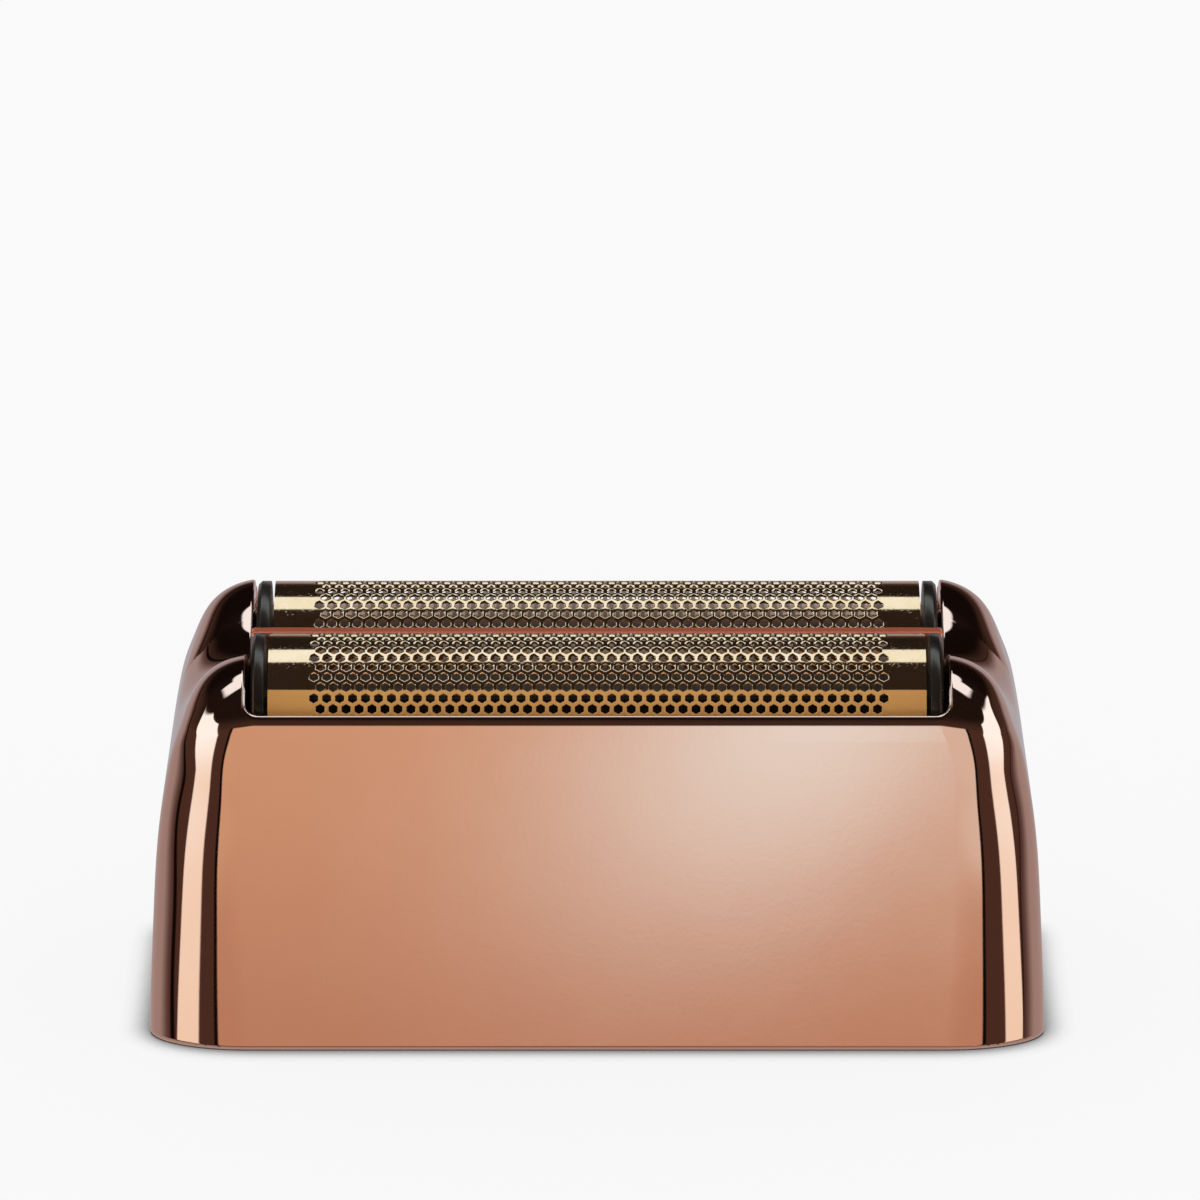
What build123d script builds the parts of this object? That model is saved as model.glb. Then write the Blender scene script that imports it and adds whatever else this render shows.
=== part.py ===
# Double-foil shaver head: plated saddle-shouldered housing, two perforated foils on
# their frames, and the retaining frame that holds the frames up in the housing.
# X runs along the foils, -Y is the front, Z is up, and the open rim stands on Z = 0.
# All sizes are in millimetres and all angles in degrees.
import os
from math import atan, cos, degrees, radians, sin, sqrt, tan

from build123d import *

# Foils
foil_radius = 5.1
foil_thickness = 0.15
foil_length = 45.4
foil_proud = 0.82
hole_pitch = 5.0
hole_rows = 3
hole_web = 0.6
hole_margin = 2.6

# Foil frames
cap_thickness = 0.9
cap_groove = 0.2
cap_bevel = 0.25
rail_thickness = 0.85
rail_height = 4.1
rail_drop = 0.8
flange_height = 1.0
flange_reach = 0.25
tab_reach = 1.1
tab_width = 8.0
peg_count = 4
peg_spacing = 12.0
peg_size = 1.0
peg_head = 1.6
peg_head_thickness = 0.2

# Housing outline
crown_height = 26.65
draft = 1.74
shoulder_radius = 4.4
saddle_drop = 2.6
tower_length = 4.12
end_taper = 2.85
end_bow = 0.575
end_ease = 0.3
wall = 1.9

# Openings of the housing
sill_step = 0.05
sill_lip = 1.87
sill_corner = 0.9
edge_bevel = 0.6
cheek = 1.2
divider_thickness = 1.2
divider_drop = 0.6
divider_height = 4.05
divider_round = 0.5
latch_width = 8.0
latch_height = 2.4
latch_recess = 0.8
latch_sill = 4.0

# Retaining frame
retainer_height = 3.2
retainer_corner = 2.5
nib_length = 6.0
nib_height = 1.2
nib_reach = 0.6
nib_spacing = 30.0

# Clearances
foil_gap = 0.3
cap_gap = 0.28
seat_gap = 0.1
side_gap = 0.15
peg_gap = 0.1

# Heights, from the crown down
foil_axis = crown_height + foil_proud - foil_radius
sill_height = crown_height - saddle_drop - sill_step
divider_top = crown_height - divider_drop
rail_top = foil_axis - rail_drop
frame_bottom = rail_top - rail_height
flange_top = frame_bottom + flange_height
cheek_bottom = flange_top + seat_gap
foil_bottom = flange_top + seat_gap
peg_level = (foil_bottom + rail_top) / 2
retainer_top = frame_bottom - seat_gap
retainer_bottom = retainer_top - retainer_height
nib_top = retainer_bottom - seat_gap

# Depths, from the divider out to the front and rear walls
foil_inner = foil_radius - foil_thickness
rail_inner = foil_inner - rail_thickness
slot_width = 2 * (foil_radius + foil_gap)
foil_offset = (divider_thickness + slot_width) / 2
slope = tan(radians(draft))
base_half_depth = divider_thickness / 2 + slot_width + sill_lip + sill_height * slope
crest_centre = crown_height - shoulder_radius
crest_offset = base_half_depth - crest_centre * slope - shoulder_radius / cos(radians(draft))
saddle_radius = (crest_offset**2 + saddle_drop**2) / (4 * saddle_drop)
saddle_turn = degrees(2 * atan(saddle_drop / crest_offset))

# Lengths, from the foils out to the ends
cap_inner = foil_length / 2 + cap_groove
cap_outer = cap_inner + cap_thickness
window_half = cap_outer + cap_gap
crown_half_length = window_half + tower_length
base_half_length = crown_half_length + end_taper
end_round = shoulder_radius - end_ease


def half_depth(height):
    return base_half_depth - height * slope


def half_length(height):
    return base_half_length - end_taper * height / crown_height


# Saddle form of the housing, drawn in by an inset and run on below the rim
def saddle_form(inset):
    floor = -2 * wall
    with BuildPart() as form:
        with BuildSketch(Plane.YZ):
            with BuildLine():
                rim = Line((0, floor), (half_depth(floor), floor))
                shoulder = CenterArc((crest_offset, crest_centre), shoulder_radius, draft, 90 - draft)
                Line(rim @ 1, shoulder @ 0)
                CenterArc((crest_offset, crown_height - saddle_radius), saddle_radius, 90, saddle_turn)
                dip = CenterArc(
                    (0, crown_height - saddle_drop + saddle_radius),
                    saddle_radius, saddle_turn - 90, -saddle_turn,
                )
                Line(dip @ 1, rim @ 0)
            make_face()
            mirror(about=Plane.YZ)
            if inset:
                offset(amount=-inset)
        extrude(amount=base_half_length, both=True)
        with BuildSketch(Plane.XZ):
            with BuildLine():
                foot = Line((0, floor), (base_half_length - inset, floor))
                upright = Line(foot @ 1, (base_half_length - inset, 0))
                middle = half_length(crown_height / 2) + end_bow - inset
                bow = ThreePointArc(
                    upright @ 1, (middle, crown_height / 2), (crown_half_length - inset, crown_height)
                )
                top = Line(bow @ 1, (0, crown_height))
                Line(top @ 1, foot @ 0)
            make_face()
            mirror(about=Plane.YZ)
        extrude(amount=base_half_depth, both=True, mode=Mode.INTERSECT)
    return form.part


# Outer form with its ends rounded over
with BuildPart() as outer_form:
    add(saddle_form(0))
    ends = faces().filter_by(lambda face: abs(face.normal_at().X) > 0.8)
    fillet(ends.edges().filter_by(Axis.Y, reverse=True), end_round)
    split(bisect_by=Plane.XY)

# Hollow of the housing, leaving a cheek wall across each end of the window
with BuildPart() as hollow:
    add(saddle_form(wall))
    with Locations((window_half + cheek / 2, 0, cheek_bottom), (-window_half - cheek / 2, 0, cheek_bottom)):
        Box(
            cheek, 2 * base_half_depth, crown_height,
            align=(Align.CENTER, Align.CENTER, Align.MIN), mode=Mode.SUBTRACT,
        )

# Housing: one plated moulding
with BuildPart() as housing:
    add(outer_form.part)
    with BuildSketch(Plane.XZ):
        with Locations((0, sill_height)):
            RectangleRounded(
                2 * window_half, 2 * crown_height, sill_corner, align=(Align.CENTER, Align.MIN)
            )
    extrude(amount=base_half_depth, both=True, mode=Mode.SUBTRACT)
    chamfer(edges(Select.LAST).filter_by(Axis.Y, reverse=True), edge_bevel)
    add(hollow.part, mode=Mode.SUBTRACT)
    with Locations((0, foil_offset, cheek_bottom), (0, -foil_offset, cheek_bottom)):
        Box(
            2 * window_half, slot_width, crown_height,
            align=(Align.CENTER, Align.CENTER, Align.MIN), mode=Mode.SUBTRACT,
        )
    with BuildSketch(Plane.YZ):
        with Locations((0, divider_top)):
            Rectangle(divider_thickness, divider_height, align=(Align.CENTER, Align.MAX))
        fillet(vertices().group_by(Axis.Y)[-1], divider_round)
    extrude(amount=window_half, both=True)
    with Locations((0, 0, latch_sill)):
        Box(
            2 * (base_half_length - wall + latch_recess), latch_width, latch_height,
            align=(Align.CENTER, Align.CENTER, Align.MIN), mode=Mode.SUBTRACT,
        )
    nib_root = half_depth(nib_top) - wall
    for side in (1, -1):
        with BuildSketch(Plane.YZ) as nib_section:
            with BuildLine():
                Polyline(
                    (side * (nib_root - nib_reach), nib_top),
                    (side * (nib_root + wall / 2), nib_top),
                    (side * (nib_root + wall / 2), nib_top - nib_height - nib_reach),
                    (side * nib_root, nib_top - nib_height - nib_reach),
                    (side * (nib_root - nib_reach), nib_top - nib_height),
                    close=True,
                )
            make_face()
        with Locations((nib_spacing / 2, 0, 0), (-nib_spacing / 2, 0, 0)):
            add(extrude(nib_section.sketch, amount=nib_length / 2, both=True, mode=Mode.PRIVATE))
housing.part.label = "housing"

# Perforated foil, bent to an arch with straight legs
with BuildPart() as foil:
    with BuildSketch(Plane.YZ):
        with BuildLine():
            arch = CenterArc((0, foil_axis), foil_radius, 0, 180)
            Line(arch @ 1, (-foil_radius, foil_bottom))
            Line((foil_radius, foil_bottom), arch @ 0)
            offset(amount=-foil_thickness, side=Side.LEFT)
        make_face()
    extrude(amount=foil_length / 2, both=True)
    row_step = hole_pitch * sqrt(3) / 2 / foil_radius
    columns = int((foil_length - 2 * hole_margin) / hole_pitch)
    for row in range(hole_rows):
        lean = (row - (hole_rows - 1) / 2) * row_step
        with BuildSketch(Plane((0, 0, foil_axis), x_dir=(1, 0, 0), z_dir=(0, sin(lean), cos(lean)))):
            with GridLocations(hole_pitch, 1, columns - row % 2, 1):
                RegularPolygon((hole_pitch - hole_web) / 2, 6, major_radius=False, rotation=30)
        extrude(amount=2 * foil_radius, mode=Mode.SUBTRACT)
    with Locations((0, 0, peg_level)):
        with GridLocations(peg_spacing, 1, peg_count, 1):
            Box(
                peg_size + 2 * peg_gap, 4 * foil_radius, peg_size + 2 * peg_gap, mode=Mode.SUBTRACT,
            )

# Black frame inside a foil: arched end caps, rails with pegs, a flanged foot and end tabs
with BuildPart() as foil_frame:
    with BuildSketch(Plane.YZ.offset(cap_inner), Plane.YZ.offset(-cap_outer)):
        with BuildLine():
            arch = CenterArc((0, foil_axis), foil_radius, 0, 180)
            Polyline(arch @ 1, (-foil_radius, frame_bottom), (foil_radius, frame_bottom), arch @ 0)
        make_face()
    extrude(amount=cap_thickness)
    outside = faces().sort_by(Axis.X)
    chamfer((outside[0].edges() + outside[-1].edges()).filter_by(Axis.Y, reverse=True), cap_bevel)
    with Locations((0, 0, frame_bottom)):
        stand = (Align.CENTER, Align.CENTER, Align.MIN)
        Box(2 * cap_inner, 2 * foil_inner, rail_height, align=stand)
        Box(2 * cap_outer, 2 * (foil_radius + flange_reach), flange_height, align=stand)
        Box(2 * (cap_outer + tab_reach), tab_width, flange_height, align=stand)
    with Locations((0, 0, peg_level)):
        with GridLocations(peg_spacing, 1, peg_count, 1):
            Box(peg_size, 2 * foil_radius, peg_size)
        with GridLocations(peg_spacing, 2 * foil_radius + peg_head_thickness, peg_count, 2):
            Box(peg_head, peg_head_thickness, peg_head)
    with Locations((0, 0, frame_bottom)):
        Box(2 * cap_inner, 2 * rail_inner, 2 * foil_radius, align=stand, mode=Mode.SUBTRACT)

# Retaining frame: a flat ring with a bay for each cutter
with BuildPart() as retaining_frame:
    with BuildSketch(Plane.XY.offset(retainer_bottom)):
        RectangleRounded(
            2 * (half_length(retainer_top) - wall - side_gap),
            2 * (half_depth(retainer_top) - wall - side_gap),
            retainer_corner,
        )
        with GridLocations(1, 2 * foil_offset, 1, 2):
            RectangleRounded(2 * cap_inner, 2 * rail_inner, sill_corner, mode=Mode.SUBTRACT)
    extrude(amount=retainer_height)
retaining_frame.part.label = "retaining_frame"

os.makedirs("parts", exist_ok=True)
export_step(housing.part, "parts/housing.step")
export_step(retaining_frame.part, "parts/retaining_frame.step")
for place, middle in (("front", -foil_offset), ("rear", foil_offset)):
    for name, piece in (("foil", foil), ("foil_frame", foil_frame)):
        placed = Pos(0, middle, 0) * piece.part
        placed.label = f"{place}_{name}"
        export_step(placed, f"parts/{place}_{name}.step")
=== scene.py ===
import math

import bmesh
import bpy
import numpy as np
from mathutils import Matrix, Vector


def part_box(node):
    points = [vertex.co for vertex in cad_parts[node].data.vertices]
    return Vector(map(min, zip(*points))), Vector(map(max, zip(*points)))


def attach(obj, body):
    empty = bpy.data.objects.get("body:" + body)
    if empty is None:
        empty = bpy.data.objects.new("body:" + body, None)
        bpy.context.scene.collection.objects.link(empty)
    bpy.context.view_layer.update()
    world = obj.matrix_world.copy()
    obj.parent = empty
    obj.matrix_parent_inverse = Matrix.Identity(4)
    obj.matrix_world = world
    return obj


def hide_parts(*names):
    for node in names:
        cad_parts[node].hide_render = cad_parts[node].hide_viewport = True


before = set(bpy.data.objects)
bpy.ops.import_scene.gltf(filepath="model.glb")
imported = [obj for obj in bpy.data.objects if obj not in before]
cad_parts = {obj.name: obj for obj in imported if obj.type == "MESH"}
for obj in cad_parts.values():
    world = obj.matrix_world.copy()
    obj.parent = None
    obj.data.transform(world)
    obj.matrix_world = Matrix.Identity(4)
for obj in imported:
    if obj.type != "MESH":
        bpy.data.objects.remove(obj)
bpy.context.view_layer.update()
mm = 0.001                                    # sizes below are in millimetres
tiny = 1e-6                                   # keeps a division away from zero
print("frame loaded:", ", ".join(sorted(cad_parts)))


# Sums on sockets, written as Python
class Wire:
    def __init__(self, tree, socket=None):
        self.tree = tree
        self.socket = socket

    def node(self, kind, settings=None, inputs=None, output=0):
        made = self.tree.nodes.new("ShaderNode" + kind)
        for name, value in (settings or {}).items():
            setattr(made, name, value)
        for name, value in (inputs or {}).items():
            if isinstance(value, Wire):
                self.tree.links.new(value.socket, made.inputs[name])
            else:
                made.inputs[name].default_value = value
        return Wire(self.tree, made.outputs[output])

    def sum(self, operation, first, second=0.0):
        return self.node("Math", {"operation": operation}, {0: first, 1: second})

    def __add__(self, other):
        return self.sum("ADD", self, other)

    def __sub__(self, other):
        return self.sum("SUBTRACT", self, other)

    def __mul__(self, other):
        return self.sum("MULTIPLY", self, other)

    def __truediv__(self, other):
        return self.sum("DIVIDE", self, other)

    def __rsub__(self, other):
        return self.sum("SUBTRACT", other, self)

    def __rtruediv__(self, other):
        return self.sum("DIVIDE", other, self)

    __radd__ = __add__
    __rmul__ = __mul__

    def atLeast(self, limit):
        return self.sum("MAXIMUM", self, limit)

    def atMost(self, limit):
        return self.sum("MINIMUM", self, limit)

    def past(self, start, slope):             # 0 up to start, then rising at that slope
        return (self - start).atLeast(0.0) * slope

    def rise(self, low, high):                # 0 below low, 1 above high
        return self.node("MapRange", {"interpolation_type": "SMOOTHSTEP"}, {0: self, 1: low, 2: high})

    def mixed(self, first, second):           # this value mixes two colours
        first, second = (one if isinstance(one, Wire) else (*one, 1) for one in (first, second))
        return self.node("Mix", {"data_type": "RGBA"}, {0: self, 6: first, 7: second}, 2)


def newFinish(name):
    material = bpy.data.materials.new(name)
    material.use_nodes = True
    shader = material.node_tree.nodes["Principled BSDF"]
    return material, shader, Wire(material.node_tree)


def linkTo(wire, shader, socket):
    wire.tree.links.new(wire.socket, shader.inputs[socket])


def markOn(wire, name):                       # a mask that the mesh carries
    return wire.node("Attribute", {"attribute_name": name}, output="Fac")


def noiseOn(place, size, detail, rough=0.5):
    return place.node("TexNoise", None, {"Vector": place, "Scale": size, "Detail": detail, "Roughness": rough})


def bumpFrom(height):                         # height in millimetres
    return height.node("Bump", None, {"Strength": 1.0, "Distance": mm, "Height": height})


# Rose-gold plating over a moulding: mirror bright, with the faint waves of the moulding below
plating = {
    "colour": (0.86, 0.50, 0.36), "paler": (0.87, 0.512, 0.373), "inside": (0.40, 0.22, 0.15),
    # bar: deep red, less metallic colour, a painted reflection of the gold foils on the divider top
    # edge: pale, less metallic colour, a painted highlight line along the window edges
    "bar": (0.80, 0.205, 0.095), "edge": (0.95, 0.80, 0.70), "barReflectionMetal": 0.65, "edgeHighlightMetal": 0.45,
    "rough": 0.04, "insideRough": 0.34, "edgeHighlightRough": 0.34,
    "smudge": 0.02, "smudgeSize": 240.0, "smudgeSpan": (0.3, 0.75),
    "waveSize": 90.0, "waveHeight": 0.003, "grainSize": 2600.0, "grainHeight": 0.0003,
}


def platingFinish():
    material, shader, wire = newFinish("roseGoldPlating")
    p = plating
    place = wire.node("TexCoord", output="Object")
    wave = noiseOn(place, p["waveSize"], detail=2.0)
    smudge = noiseOn(place, p["smudgeSize"], detail=5.0, rough=0.6)
    grain = noiseOn(place, p["grainSize"], detail=3.0)
    inside, bar, edge = (markOn(wire, name) for name in ("inside", "bar", "edge"))
    tone = smudge.rise(*p["smudgeSpan"]).mixed(p["colour"], p["paler"])
    # the divider top takes the painted reflection of the gold foils
    tone = bar.mixed(inside.mixed(tone, p["inside"]), p["bar"])
    # the window edges take a painted highlight: pale colour, less metal
    linkTo(edge.mixed(tone, p["edge"]), shader, "Base Color")
    linkTo(1 - bar * (1 - p["barReflectionMetal"]) - edge * (1 - p["edgeHighlightMetal"]), shader, "Metallic")
    polish = p["rough"] + p["smudge"] * (smudge - 0.5) * 2
    polish = polish + edge * (p["edgeHighlightRough"] - p["rough"]) + inside * (p["insideRough"] - p["rough"])
    linkTo(polish, shader, "Roughness")
    linkTo(bumpFrom(wave * p["waveHeight"] + grain * p["grainHeight"]), shader, "Normal")
    return material


# Gold coating on the foils: bright over the top of the arch, matt below, bare metal inside with painted shade
# that darkens it lower down
gold = {
    "colour": (0.87, 0.53, 0.31), "deep": (0.82, 0.48, 0.25), "matt": (1.0, 0.49, 0.14),
    "bare": (0.86, 0.72, 0.58), "bareShadedLow": (0.36, 0.29, 0.23),
    "metal": 0.985, "mattMetal": 0.5, "bareMetal": 0.5,
    "rough": 0.07, "roughSpread": 0.06, "mattRough": 0.42, "bareRough": 0.45,
    "mattBelow": 25.03, "mattBlur": 0.03, "bareShadeSpan": (22.5, 26.2),      # heights
    "mottleSize": 420.0, "mottleSpan": (0.35, 0.7),
    "lineSize": 900.0, "lineStretch": (0.06, 1.0, 1.0), "lineHeight": 0.0012,
    "speckSize": 6500.0, "speckSpan": (0.66, 0.74), "speckHeight": 0.0022,
}


def goldFinish():
    material, shader, wire = newFinish("goldFoil")
    g = gold
    place = wire.node("TexCoord", output="Object")
    height = wire.node("SeparateXYZ", None, {0: place}, "Z") / mm
    matt = 1 - height.rise(g["mattBelow"] - g["mattBlur"], g["mattBelow"] + g["mattBlur"])
    bare = markOn(wire, "bare")
    mottle = noiseOn(place, g["mottleSize"], detail=4.0)
    stretch = wire.node("Mapping", None, {"Vector": place, "Scale": g["lineStretch"]})
    lines = noiseOn(stretch, g["lineSize"], detail=3.0)                  # rolling lines along the sheet
    speck = noiseOn(place, g["speckSize"], detail=1.0)
    tone = mottle.rise(*g["mottleSpan"]).mixed(g["deep"], g["colour"])
    # painted shade: the bare inside darkens towards the bottom
    under = height.rise(*g["bareShadeSpan"]).mixed(g["bareShadedLow"], g["bare"])
    linkTo(bare.mixed(matt.mixed(tone, g["matt"]), under), shader, "Base Color")
    rough = g["rough"] + g["roughSpread"] * (lines - 0.5) + matt * (g["mattRough"] - g["rough"])
    linkTo(bare * g["bareRough"] + (1 - bare) * rough, shader, "Roughness")
    dull = matt * (1 - bare) * (g["metal"] - g["mattMetal"]) + bare * (g["metal"] - g["bareMetal"])
    linkTo(g["metal"] - dull, shader, "Metallic")
    relief = lines * g["lineHeight"] + speck.rise(*g["speckSpan"]) * g["speckHeight"]
    linkTo(bumpFrom(relief), shader, "Normal")
    return material


# Satin black moulding, finely spark-eroded
black = {
    "colour": (0.009, 0.008, 0.007), "worn": (0.015, 0.013, 0.012), "specular": 1.0, "tint": (1.0, 0.70, 0.50),
    "rough": 0.26, "roughSpread": 0.14, "cloudSize": 300.0, "cloudSpan": (0.35, 0.7),
    "sparkSize": 5200.0, "sparkHeight": 0.004,
}


def blackFinish():
    material, shader, wire = newFinish("blackMoulding")
    place = wire.node("TexCoord", output="Object")
    spark = noiseOn(place, black["sparkSize"], detail=3.0, rough=0.65)
    cloud = noiseOn(place, black["cloudSize"], detail=3.0)
    linkTo(cloud.rise(*black["cloudSpan"]).mixed(black["colour"], black["worn"]), shader, "Base Color")
    linkTo(black["rough"] + black["roughSpread"] * (cloud - 0.5), shader, "Roughness")
    linkTo(bumpFrom(spark * black["sparkHeight"]), shader, "Normal")
    shader.inputs["Specular IOR Level"].default_value = black["specular"]
    shader.inputs["Specular Tint"].default_value = (*black["tint"], 1)
    return material


finishes = {"plating": platingFinish(), "foil": goldFinish(), "black_plastic": blackFinish()}
print("finishes made:", len(finishes))


def newPiece(name, mesh, slot, *nodes):
    piece = bpy.data.objects.new(name, mesh)
    bpy.context.scene.collection.objects.link(piece)
    mesh.materials.clear()
    mesh.materials.append(finishes[slot])
    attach(piece, "root")
    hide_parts(*nodes)
    return piece


def sizesOf(node):
    low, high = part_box(node)
    return np.array(low) / mm, np.array(high) / mm


# Housing, from one signed field in millimetres: below zero is solid
housingHigh = sizesOf("housing")[1]
foilLow, foilHigh = sizesOf("front_foil")
ringLow = sizesOf("retaining_frame")[0]
housing = {
    "draft": 1.74, "shoulder": 4.4, "crownRise": 0.13, "saddleDrop": 2.73, "endTaper": 2.85, "endBow": 0.575,
    "neck": 0.55, "neckDown": 3.1, "neckWide": 2.3,           # swellings of the ends, down from the crown
    "belly": 0.21, "bellyDown": 12.0, "bellyWide": 5.5,
    "tuck": 0.36, "tuckDown": 5.9, "tuckWide": 2.7,           # and of the plan corners
    "crisp": 1.0, "crispDown": 3.2, "crispWide": 3.0, "crispSpan": 4.0,
    "cornerAtRim": 7.0, "cornerAtCrown": 4.6, "cornerDepth": 3.9, "wall": 1.9, "innerCorner": 1.5,
    "windowHalf": 24.08, "sillDrop": 2.65, "sillCorner": 0.9, "lipEdge": 12.75, "lipFall": 0.45, "lipWide": 1.6,
    "edgeRound": 0.25, "slotRound": 0.2, "rimRound": 0.3, "cheek": 1.2, "slotGap": 0.3,
    "divider": 1.2, "dividerDrop": 0.6, "dividerHeight": 4.05, "dividerRound": 0.15,
    "dividerEnd": 0.05, "dividerEndRound": 0.3,
    "latchWidth": 8.0, "latchHeight": 2.4, "latchRecess": 0.8, "latchSill": 4.0,
    "nibLength": 6.0, "nibHeight": 1.2, "nibReach": 0.6, "nibSpacing": 30.0, "seatGap": 0.1,
    # the divider top's painted reflection of the gold foils fades out a little below its top
    "onBar": 0.05, "barTopReflection": (0.2, 0.3), "barSide": (0.3, 0.4),          # where each finish fades in or out
    # the painted highlight line on the window edges, a little above the sill
    "edgeHighlightWide": (0.15, 0.25), "edgeHighlightFrom": (0.4, 0.9), "edgeHighlightTo": (1.4, 2.2),
    "onLip": 0.1, "lipDull": (0.05, 0.1), "insideDeep": (0.0, 0.4), "insideDown": (0.3, 0.8),
    "gridX": ((0.5, 22.7, 1.0), (22.7, 23.7, 0.25), (23.7, 24.6, 0.1), (24.6, 31.7, 0.22)),
    "gridY": ((0.1, 1.1, 0.12), (1.1, 10.8, 0.33), (10.8, 14.7, 0.2)),
    "gridZ": ((-0.5, 0.9, 0.2), (0.9, 16.5, 0.55), (16.5, 21.0, 0.3), (21.0, 23.4, 0.22), (23.4, 24.4, 0.1),
              (24.4, 27.6, 0.2)),
}
crown = housingHigh[2] + housing["crownRise"]


def ramp(value, low, high):                   # 0 below low, 1 above high
    return np.clip((value - low) / (high - low), 0, 1)


def roundBoth(first, second, radius):         # where both are solid, with a rounded edge
    bulge = np.hypot(np.maximum(first + radius, 0), np.maximum(second + radius, 0))
    return np.minimum(np.maximum(first, second), -radius) + bulge


def ovalBoth(first, second, deep, long, middle=0.02):         # the same with an oval edge
    u = np.maximum(first + deep, 0) / deep
    v = np.maximum(second + long, 0) / long
    reach = np.maximum(np.hypot(u, v), tiny)
    steep = np.maximum(np.hypot(u / deep, v / long), tiny)
    return np.where(reach > middle, (reach - 1) * reach / steep, np.maximum(first, second))


def topHeight(y):                             # the saddle line over the crown, and its slope cosine
    h = housing
    slope = math.tan(math.radians(h["draft"]))
    centre = crown - h["shoulder"]
    crest = housingHigh[1] - centre * slope - h["shoulder"] / math.cos(math.radians(h["draft"]))
    bend = (crest**2 + h["saddleDrop"]**2) / (4 * h["saddleDrop"])
    dip = np.sqrt(np.maximum(bend**2 - y**2, tiny))
    hump = np.sqrt(np.maximum(bend**2 - (y - crest)**2, tiny))
    low = crown - h["saddleDrop"] + bend - dip
    high = crown - bend + hump
    height = np.where(y < crest / 2, low, np.where(y < crest, high, crown))
    cosine = np.where(y < crest / 2, dip / bend, np.where(y < crest, hump / bend, 1.0))
    return height, cosine


# The plated skin, the room inside it, what stands in that room, and where the finishes change, with the painted
# reflection on the divider top and the painted highlight on the window edges
def housingParts(x, y, z):
    h = housing
    x, y = np.abs(x), np.abs(y)
    slope = math.tan(math.radians(h["draft"]))
    share = np.clip(z / housingHigh[2], 0, 1)
    side = (y - housingHigh[1] + z * slope) * math.cos(math.radians(h["draft"]))
    height, cosine = topHeight(y)
    top = (z - height) * cosine
    end = x - housingHigh[0] + h["endTaper"] * share - 4 * h["endBow"] * share * (1 - share)

    def bulge(name):                          # a soft swelling some way down from the crown
        return h[name] * np.exp(-((crown - z - h[name + "Down"]) / h[name + "Wide"])**2)

    end = end + bulge("neck") - bulge("belly")
    section = roundBoth(side, top, h["shoulder"])
    corner = h["cornerAtRim"] + (h["cornerAtCrown"] - h["cornerAtRim"]) * share - bulge("tuck")
    upright = ramp(side - top, 0, h["crispSpan"])
    depth = h["cornerDepth"] - bulge("crisp") * upright**2 * (3 - 2 * upright)
    body = ovalBoth(section, end, depth, corner)

    sill = housingHigh[2] - h["sillDrop"]
    fall = h["lipFall"] * np.clip(h["lipEdge"] - y, 0, h["lipWide"])
    window = roundBoth(x - h["windowHalf"], sill - fall - z, h["sillCorner"])
    skin = roundBoth(body, -window, h["edgeRound"])

    cheekBottom = foilLow[2]
    slotMiddle = -(foilLow[1] + foilHigh[1]) / 2
    slotHalf = (foilHigh[1] - foilLow[1]) / 2 + h["slotGap"]
    innerSection = roundBoth(side + h["wall"], top + h["wall"], h["shoulder"] - h["wall"])
    hollow = roundBoth(innerSection, end + h["wall"], h["innerCorner"])
    cheek = np.maximum(np.abs(x - h["windowHalf"] - h["cheek"] / 2) - h["cheek"] / 2, cheekBottom - z)
    hollow = np.maximum(hollow, -cheek)
    slot = np.maximum(np.maximum(x - h["windowHalf"], np.abs(y - slotMiddle) - slotHalf), cheekBottom - z)
    latch = np.maximum(
        np.maximum(x - housingHigh[0] + h["wall"] - h["latchRecess"], y - h["latchWidth"] / 2),
        np.abs(z - h["latchSill"] - h["latchHeight"] / 2) - h["latchHeight"] / 2,
    )
    room = np.minimum(np.minimum(hollow, slot), latch)

    dividerTop = housingHigh[2] - h["dividerDrop"]
    bar = roundBoth(y - h["divider"] / 2, z - dividerTop, h["dividerRound"])
    bar = np.maximum(bar, dividerTop - h["dividerHeight"] - z)
    bar = roundBoth(bar, x - h["windowHalf"] - h["dividerEnd"], h["dividerEndRound"])

    nibTop = ringLow[2] - h["seatGap"]
    nibRoot = housingHigh[1] - nibTop * slope - h["wall"]
    nib = np.maximum(np.abs(x - h["nibSpacing"] / 2) - h["nibLength"] / 2, z - nibTop)
    lead = (nibTop - h["nibHeight"] - h["nibReach"] - z + nibRoot - y) / math.sqrt(2)
    nib = np.maximum(np.maximum(nib, lead), nibRoot - h["nibReach"] - y)
    nib = np.maximum(nib, y - nibRoot - h["wall"] / 2)

    onBar = bar < h["onBar"]
    # painted reflection of the gold foils, on the divider top
    barTopReflection = onBar * (1 - ramp(dividerTop - z, *h["barTopReflection"]))
    barSide = onBar * ramp(dividerTop - z, *h["barSide"])
    lip = (np.abs(window) < h["onLip"]) * ramp(sill - z, *h["lipDull"])
    deep = ramp(-room - skin, *h["insideDeep"]) * ramp(sill - z, *h["insideDown"])
    # painted highlight line along the window edges, just above the sill
    edge = 1 - ramp(np.abs(body) + np.abs(window), *h["edgeHighlightWide"])
    edge = edge * ramp(z - sill, *h["edgeHighlightFrom"]) * (1 - ramp(z - sill, *h["edgeHighlightTo"]))
    inside = np.maximum(deep, np.maximum(lip, barSide))
    return skin, room, np.minimum(bar, nib), {"inside": inside, "bar": barTopReflection, "edge": edge}


def housingField(x, y, z):
    skin, room, extra = housingParts(x, y, z)[:3]
    body = np.minimum(roundBoth(skin, -room, housing["slotRound"]), extra)
    return roundBoth(body, -z, housing["rimRound"])


def gridAxis(runs, bothWays):                 # grid lines from runs of (start, stop, step)
    line = np.concatenate([np.arange(*run) for run in runs])
    return np.concatenate([-line[::-1], line]) if bothWays else line


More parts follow.
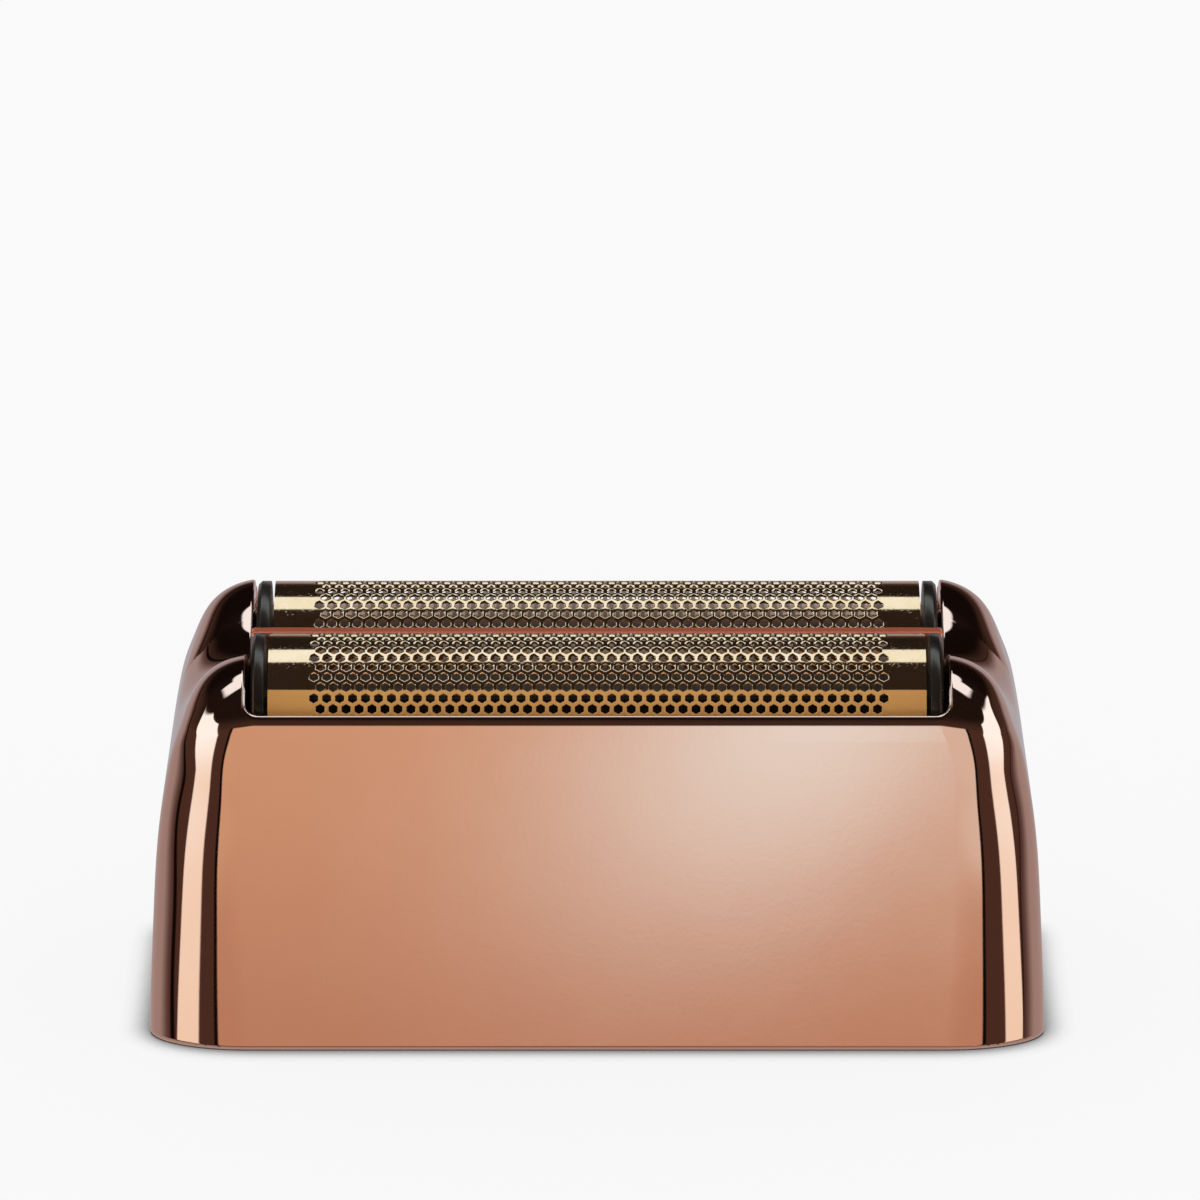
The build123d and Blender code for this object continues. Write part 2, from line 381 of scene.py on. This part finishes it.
def netSurface(field, axes):                  # one vertex in each cell that the surface crosses
    values = field(*np.meshgrid(*axes, indexing="ij"))
    cells = np.array(values.shape) - 1
    total = np.zeros((cells.prod(), 3))
    count = np.zeros(cells.prod())
    corners = []
    for axis in range(3):
        start = np.take(values, range(cells[axis]), axis)
        stop = np.take(values, range(1, cells[axis] + 1), axis)
        spot = np.argwhere((start < 0) != (stop < 0))
        first, last = start[tuple(spot.T)], stop[tuple(spot.T)]
        point = spot.astype(float)
        point[:, axis] += first / (first - last)
        one, two = np.eye(3, dtype=int)[[(axis + 1) % 3, (axis + 2) % 3]]
        around = [spot - one - two, spot - two, spot, spot - one]
        ids = np.stack([np.ravel_multi_index(tuple(a.T), tuple(cells)) for a in around], 1)
        for column in ids.T:
            np.add.at(total, column, point)
            np.add.at(count, column, 1)
        corners.append(np.where((first < 0)[:, None], ids, ids[:, ::-1]))
    used = np.flatnonzero(count)
    order = np.full(len(count), -1)
    order[used] = np.arange(len(used))
    places = total[used] / count[used, None]
    points = np.stack([np.interp(places[:, k], np.arange(len(axes[k])), axes[k]) for k in range(3)], 1)
    return points, order[np.concatenate(corners)]


def steepest(field, points, step=0.01):
    slopes = []
    for axis in range(3):
        shift = np.eye(3)[axis] * step
        slopes.append((field(*(points + shift).T) - field(*(points - shift).T)) / (2 * step))
    return np.stack(slopes, 1)


# Slides each vertex to where the field is zero
def ontoSurface(field, points, turns=5, reach=0.15, flattest=0.05):
    for _ in range(turns):
        slope = steepest(field, points)
        length = np.maximum((slope**2).sum(1), flattest)
        move = (field(*points.T) / length)[:, None] * slope
        far = np.maximum(np.linalg.norm(move, axis=1, keepdims=True) / reach, 1)
        points = points - move / far
    slope = steepest(field, points)
    return points, slope / np.maximum(np.linalg.norm(slope, axis=1, keepdims=True), tiny)


def makeHousing():
    h = housing
    axes = [gridAxis(h["gridX"], True), gridAxis(h["gridY"], True), gridAxis(h["gridZ"], False)]
    points, quads = netSurface(housingField, axes)
    points, normals = ontoSurface(housingField, points)
    mesh = bpy.data.meshes.new("housingMesh")
    mesh.from_pydata((points * mm).tolist(), [], quads.tolist())
    mesh.polygons.foreach_set("use_smooth", np.ones(len(quads), bool))
    mesh.normals_split_custom_set_from_vertices(normals.tolist())
    for name, value in housingParts(*points.T)[3].items():
        mark = mesh.attributes.new(name, "FLOAT", "POINT")
        mark.data.foreach_set("value", value.astype(np.float32))
    print("housing:", len(points), "vertices,", 2 * len(quads), "triangles")
    newPiece("platedHousing", mesh, "plating", "housing")


makeHousing()


# Foils: a flat honeycomb sheet, bent over the arch
foil = {
    "pitch": 0.889, "rows": 18, "longRow": 45, "shift": 0.12, "thickness": 0.085,
    "rings": ((0.76, 0.0, 8.0), (0.63, 0.028, 29.0)),         # width, depth and turn, into a hole
    "holeBelow": 0.62, "collar": 0.2, "collarTurns": (30.0, 48.0), "collarFlare": 0.45,   # the wall of a hole
    "pegRoom": 0.75, "pegSpacing": 12.0, "pegCount": 4, "endGap": 0.1, "weldSteps": 200,
}
foilRadius = (foilHigh[1] - foilLow[1]) / 2
foilAxis = foilHigh[2] - foilRadius
foilHalf = foilHigh[0] - foil["endGap"]
legLength = foilAxis - foilLow[2]
sheetHalf = foilRadius * math.pi / 2 + legLength


def hexagon(size):                            # corners of a hexagon with flats that far apart, facing X
    reach = size / math.sqrt(3)
    return [(reach * math.sin(k * math.pi / 3), reach * math.cos(k * math.pi / 3)) for k in range(6)]


def flatSheet():
    sheet = bmesh.new()
    way, ring = sheet.verts.layers.float_vector.new("way"), sheet.verts.layers.int.new("ring")
    rowStep = foil["pitch"] * math.sqrt(3) / 2
    known = {}

    def corner(x, s):                         # neighbouring cells share their corners
        key = (round(x * foil["weldSteps"]), round(s * foil["weldSteps"]))
        if key not in known:
            known[key] = sheet.verts.new((x, s, 0))
        return known[key]

    pegs = [(k - (foil["pegCount"] - 1) / 2) * foil["pegSpacing"] for k in range(foil["pegCount"])]
    pegDown = foilRadius * math.pi / 2 + legLength / 2
    lastRow = math.ceil(sheetHalf / rowStep) + 1
    columns = math.ceil(foilHalf / foil["pitch"]) + 1
    for row in range(-lastRow, lastRow):
        s = (row + 0.5) * rowStep
        inField = -foil["rows"] / 2 <= row < foil["rows"] / 2
        even = (row - foil["rows"] // 2) % 2  # the outermost rows are the short ones
        holes = foil["longRow"] - 1 + even
        for column in range(-columns, columns + 1):
            x = (column + 0.5 * (1 - even)) * foil["pitch"] + foil["shift"]
            outline = [corner(x + a, s + b) for a, b in hexagon(foil["pitch"])]
            if inField and abs(x - foil["shift"]) < holes / 2 * foil["pitch"]:
                loops = [outline]
                for place, (size, _, _) in enumerate(foil["rings"]):
                    loops.append([])
                    for a, b in hexagon(size):
                        vert = sheet.verts.new((x + a, s + b, 0))
                        vert[way], vert[ring] = Vector((-a, -b, 0)).normalized(), place + 1
                        loops[-1].append(vert)
                for wide, tight in zip(loops, loops[1:]):
                    for k in range(6):
                        j = (k + 1) % 6
                        sheet.faces.new((wide[k], tight[k], tight[j], wide[j]))
            elif min(max(abs(x - p), abs(abs(s) - pegDown)) for p in pegs) > foil["pegRoom"]:
                sheet.faces.new(outline[::-1])
    for reach, direction in ((foilHalf, (1, 0, 0)), (sheetHalf, (0, 1, 0))):
        for sign in (1, -1):                  # trim to the edges of the sheet
            normal = Vector(direction) * sign
            bmesh.ops.bisect_plane(
                sheet, geom=sheet.verts[:] + sheet.edges[:] + sheet.faces[:], dist=1e-5,
                plane_co=normal * reach, plane_no=normal, clear_outer=True,
            )
    sheet.verts.index_update()
    points = np.array([vert.co[:] for vert in sheet.verts])
    inward = np.array([vert[way][:] for vert in sheet.verts])
    rings = np.array([vert[ring] for vert in sheet.verts])
    faces = [[vert.index for vert in face.verts] for face in sheet.faces]
    walls = [[loop.vert.index, loop.link_loop_next.vert.index]
             for edge in sheet.edges if len(edge.link_loops) == 1 for loop in edge.link_loops]
    sheet.free()
    return points[:, :2], inward[:, :2], rings, faces, walls


def bent(points, depth, middle):              # flat (x, s) to its place on the arch, with normals and slopes
    x, s = points.T
    turn = np.clip(s / foilRadius, -math.pi / 2, math.pi / 2)
    drop = np.maximum(np.abs(s) - foilRadius * math.pi / 2, 0)
    normal = np.stack([np.zeros_like(x), np.sin(turn), np.cos(turn)], 1)
    slope = np.stack([np.zeros_like(x), np.cos(turn), -np.sin(turn)], 1)
    place = normal * (foilRadius - depth) + np.stack([x, np.full_like(x, middle), foilAxis - drop], 1)
    return place, normal, slope


def makeFoil(name, node, sheet):
    top, inward, rings, faces, walls = sheet
    low, high = sizesOf(node)
    middle = (low[1] + high[1]) / 2
    sizes, depths, turns = np.array([(0, 0, 0), *foil["rings"]]).T
    outer, outward, slope = bent(top, depths[rings][:, None], middle)
    rim = (rings == len(foil["rings"]))[:, None]              # the sheet is drawn in round each hole
    shrink = rim * (sizes[-1] - foil["holeBelow"]) / math.sqrt(3)
    inner = bent(top + inward * shrink, np.where(rim, foil["collar"], foil["thickness"]), middle)[0]
    many = len(outer)
    under = [[index + many for index in reversed(face)] for face in faces]
    sides = [[b, a, a + many, b + many] for a, b in walls]
    mesh = bpy.data.meshes.new(name + "Mesh")
    mesh.from_pydata((np.concatenate([outer, inner]) * mm).tolist(), [], faces + under + sides)
    mesh.polygons.foreach_set("use_smooth", np.ones(len(mesh.polygons), bool))

    flat = np.zeros(3 * len(mesh.polygons))                   # a normal for each corner, flat to begin with
    mesh.polygons.foreach_get("normal", flat)
    lengths = [len(face) for face in faces + under + sides]
    normals = np.repeat(flat.reshape(-1, 3), lengths, 0)
    turned = np.radians(turns[rings])[:, None]                # the top turns down into the holes
    edge = inward[:, :1] * np.array([1.0, 0, 0]) + inward[:, 1:] * slope
    rounded = np.cos(turned) * outward + np.sin(turned) * edge
    onRim = np.concatenate([np.full(len(face), rings[face].max() > 1) for face in faces])
    index = np.concatenate([np.array(face) for face in faces])
    normals[:len(index)] = np.where(onRim[:, None], rounded[index], outward[index])
    index = np.concatenate([np.array(face) for face in under]) - many
    normals[len(index):2 * len(index)] = -outward[index]
    wall = np.array(sides)                                    # the walls of the holes flare out
    lean = np.radians(np.array(foil["collarTurns"])[(wall >= many).astype(int)])[..., None]
    flare = edge * np.array([foil["collarFlare"], 1, 1])
    flare = flare / np.maximum(np.linalg.norm(flare, axis=1, keepdims=True), tiny)
    drawnIn = np.cos(lean) * outward[wall % many] + np.sin(lean) * flare[wall % many]
    collars = rim[wall % many].all(axis=(1, 2))
    normals[2 * len(index):].reshape(-1, 4, 3)[collars] = drawnIn[collars]
    mesh.normals_split_custom_set(normals.tolist())

    bare = np.repeat([0, 1, 0], [len(faces), len(under), len(sides)])
    mark = mesh.attributes.new("bare", "FLOAT", "FACE")
    mark.data.foreach_set("value", bare.astype(np.float32))
    print(name + ":", sum(lengths) - 2 * len(lengths), "triangles")
    newPiece(name, mesh, "foil", node)


honeycomb = flatSheet()
makeFoil("frontFoilSheet", "front_foil", honeycomb)
makeFoil("rearFoilSheet", "rear_foil", honeycomb)


# Black mouldings keep their solids, with every edge eased
eased = {"width": 0.11, "segments": 3, "angle": 25, "weld": 0.0001, "flat": 0.5}


def makeMoulding(name, node):
    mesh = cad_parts[node].data.copy()
    work = bmesh.new()
    work.from_mesh(mesh)
    bmesh.ops.remove_doubles(work, verts=work.verts[:], dist=eased["weld"] * mm)
    flat = math.radians(eased["flat"])
    bmesh.ops.dissolve_limit(work, angle_limit=flat, verts=work.verts[:], edges=work.edges[:])
    work.to_mesh(mesh)
    work.free()
    mesh.name = name + "Mesh"
    piece = newPiece(name, mesh, "black_plastic", node)
    mesh.normals_split_custom_set([(0, 0, 0)] * len(mesh.loops))         # drops the solid's own normals
    mesh.polygons.foreach_set("use_smooth", np.ones(len(mesh.polygons), bool))
    bevel = piece.modifiers.new("easedEdges", "BEVEL")
    bevel.width = eased["width"] * mm
    bevel.segments = eased["segments"]
    bevel.limit_method = "ANGLE"
    bevel.angle_limit = math.radians(eased["angle"])
    bevel.harden_normals = True


for name, node in (("frontFoilFrame", "front_foil_frame"), ("rearFoilFrame", "rear_foil_frame"),
                   ("retainingRing", "retaining_frame")):
    makeMoulding(name, node)
print("mouldings eased")


# Studio: white floor and camera background, and soft boxes that the metal reflects
studio = {
    "white": (0.95, 0.95, 0.95), "panel": (0.70, 0.55, 0.42), "panelLow": (0.55, 0.375, 0.29),
    "glow": (0.91, 1.24, 1.45), "gap": (0.005, 0.004, 0.004), "brown": (0.075, 0.045, 0.038),
    "sideHigh": (1.20, 1.72, 2.1), "sideLow": (1.0, 1.08, 1.02), "overhead": (1.08, 1.55, 1.95),
    "lowCeiling": (0.055, 0.037, 0.031), "ceiling": (0.014, 0.010, 0.009),
    "ceilingBack": (0.006, 0.004, 0.004),
    "tableEdge": (0.09, 0.06, 0.06), "table": (0.38, 0.37, 0.41), "tableFar": (0.46, 0.44, 0.47),
}
boxes = {                                     # angles in degrees; a slope is (where it starts, its steepness)
    "panelFade": (-17.4, -14.9), "panelEdge": (21.6, 22.8), "gapEdge": (24.4, 25.8),
    "glowTurn": 1.4, "glowLift": -14.9, "glowLean": 0.5,
    "glowLeft": 1.5, "glowRight": 1.25, "glowTail": 0.95, "glowDown": 1.32,
    "rightSpan": (0.0, 4.0), "panelRight": 4.7, "sideRight": 10.0, "tableRight": 0.035,
    "ceilingEdge": (10.0, 12.0), "ceilingFade": (13.0, 30.0), "ceilingDepth": (0.0, 0.5),
    "sideNear": 37.8, "nearSlope": (2.0, 0.45), "nearSteep": (22.0, 2.2),
    "sideFar": 61.5, "farSlope": (-11.0, 1.05),
    "sideBlur": (-1.0, 1.0), "sideTop": (31.5, 34.0), "topSlope": (70.0, 0.25), "sideFade": (-22.0, 2.0),
    "tablePlane": (0.457, 0.889), "tableGap": (0.085, 0.1), "tableStart": (0.13, 0.155),
    "tableFade": (0.15, 0.35), "tableAway": (0.35, 0.85),
    "overheadAt": 107.2, "overheadSwing": 31.0, "overheadDeep": 13.3, "overheadSpread": 7.0,
    "overheadWide": 0.66, "wideSlope": (94.0, 0.04), "overheadTight": 0.43,
    "overheadCorner": 5.0, "overheadBlur": (0.65, 1.4),
}


def makeWorld():
    world = bpy.data.worlds.new("studio")
    bpy.context.scene.world = world
    world.use_nodes = True
    tree = world.node_tree
    tree.nodes.clear()
    wire = Wire(tree)
    s, b = studio, boxes
    way = wire.node("SeparateXYZ", None, {0: wire.node("TexCoord", output="Generated")})
    x, y, z = (Wire(tree, way.socket.node.outputs[k]) for k in range(3))
    degree = 180 / math.pi
    across = wire.sum("ABSOLUTE", x)
    turn = wire.sum("ARCTAN2", across, 0 - y) * degree        # 0 straight ahead, 180 behind
    signed = wire.sum("ARCTAN2", x, 0 - y) * degree           # the same, below 0 on the left
    lift = wire.sum("ARCSINE", z) * degree
    over = wire.sum("ARCTAN2", z, 0 - y) * degree             # 0 ahead, 90 overhead, 180 behind
    below = y * b["tablePlane"][0] - z * b["tablePlane"][1]   # how far under a table plane that rises behind
    right = signed.rise(*b["rightSpan"])                      # what is on the right stands further round

    low = (lift - b["glowLift"]).atMost(0.0)                  # front panel, with a glow that fades out downward
    drift = signed - b["glowTurn"] - low * b["glowLean"]
    wide = drift.atMost(0.0) / b["glowLeft"] + (drift.atLeast(0.0) / b["glowRight"]).atMost(b["glowTail"])
    high = low / b["glowDown"]
    glow = wire.sum("EXPONENT", 0 - wide * wide - high * high)
    look = lift.rise(*b["panelFade"]).mixed(s["panelLow"], s["panel"])
    look = glow.mixed(look, s["glow"])
    framed = turn - right * b["panelRight"]
    look = framed.rise(*b["panelEdge"]).mixed(look, s["gap"])
    look = framed.rise(*b["gapEdge"]).mixed(look, s["brown"])

    ceiling = y.rise(*b["ceilingDepth"]).mixed(s["ceiling"], s["ceilingBack"])
    ceiling = lift.rise(*b["ceilingFade"]).mixed(s["lowCeiling"], ceiling)
    look = lift.rise(*b["ceilingEdge"]).mixed(look, ceiling)

    swung = turn - right * b["sideRight"]                     # side boxes, which lean back as they rise
    near = b["sideNear"] + lift.past(*b["nearSlope"]) + lift.past(*b["nearSteep"])
    far = b["sideFar"] + lift.past(*b["farSlope"])
    side = (swung - near).rise(*b["sideBlur"]) * (1 - (swung - far).rise(*b["sideBlur"]))
    side = side * (1 - (lift + swung.past(*b["topSlope"])).rise(*b["sideTop"]))
    look = side.mixed(look, lift.rise(*b["sideFade"]).mixed(s["sideLow"], s["sideHigh"]))

    look = (below - right * b["tableRight"]).rise(*b["tableGap"]).mixed(look, s["gap"])
    table = below.rise(*b["tableFade"]).mixed(s["tableEdge"], s["table"])
    table = below.rise(*b["tableAway"]).mixed(table, s["tableFar"])
    look = below.rise(*b["tableStart"]).mixed(look, table)

    deepBox = wire.sum("ABSOLUTE", over - b["overheadAt"] + across * b["overheadSwing"])
    deepBox = deepBox / (b["overheadDeep"] + across * b["overheadSpread"])
    wideBox = across / (b["overheadWide"] - over.past(*b["wideSlope"])).atLeast(b["overheadTight"])
    box = wire.sum("POWER", deepBox, b["overheadCorner"]) + wire.sum("POWER", wideBox, b["overheadCorner"])
    look = (1 - box.rise(*b["overheadBlur"])).mixed(look, s["overhead"])

    rays = wire.node("LightPath").socket.node.outputs
    camera, glossy = Wire(tree, rays["Is Camera Ray"]), Wire(tree, rays["Is Glossy Ray"])
    shown = glossy.mixed(camera.mixed((1, 1, 1), s["white"]), look)
    background = wire.node("Background", None, {"Color": shown})
    out = tree.nodes.new("ShaderNodeOutputWorld")
    tree.links.new(background.socket, out.inputs["Surface"])


floorPlane = {
    "size": 6000.0, "rough": 0.9, "shadow": 0.1,
    "contact": 2.4, "contactSpan": (0.3, 1.0), "contactRays": 8,         # dark line where the head stands
}


def makeFloor():
    f = floorPlane
    bpy.ops.mesh.primitive_plane_add(size=f["size"] * mm)
    floor = bpy.context.object
    floor.name = "studioFloor"
    material, shader, wire = newFinish("whiteFloor")
    shader.inputs["Roughness"].default_value = f["rough"]
    shader.inputs["Specular IOR Level"].default_value = 0.0
    white = Vector(studio["white"])
    shader.inputs["Base Color"].default_value = (*white * f["shadow"], 1)
    near = wire.node("AmbientOcclusion", {"samples": f["contactRays"]}, {"Distance": f["contact"] * mm}, "AO")
    bright = near.rise(*f["contactSpan"]).mixed((0, 0, 0), white * (1 - f["shadow"]))
    linkTo(bright, shader, "Emission Color")
    shader.inputs["Emission Strength"].default_value = 1.0
    linkTo(1 - wire.node("NewGeometry", output="Backfacing"), shader, "Alpha")   # clear from below
    floor.data.materials.append(material)
    floor.visible_glossy = False


view = {
    "tilt": 17.65, "far": 627.0, "target": (0.2, 0.0, 28.21),
    "lens": 270.4, "sensor": 36.0, "clip": (10.0, 20000.0),
}


def makeCamera():
    data = bpy.data.cameras.new("photoCamera")
    camera = bpy.data.objects.new("photoCamera", data)
    bpy.context.scene.collection.objects.link(camera)
    tilt = math.radians(view["tilt"])
    back = Vector((0, -math.cos(tilt), math.sin(tilt)))
    camera.location = (Vector(view["target"]) + back * view["far"]) * mm
    camera.rotation_euler = (-back).to_track_quat("-Z", "Y").to_euler()
    data.lens = view["lens"]
    data.sensor_width = view["sensor"]
    data.clip_start, data.clip_end = (reach * mm for reach in view["clip"])
    bpy.context.scene.camera = camera


makeWorld()
makeFloor()
makeCamera()
bpy.context.scene.view_settings.view_transform = "Standard"
print("studio ready")
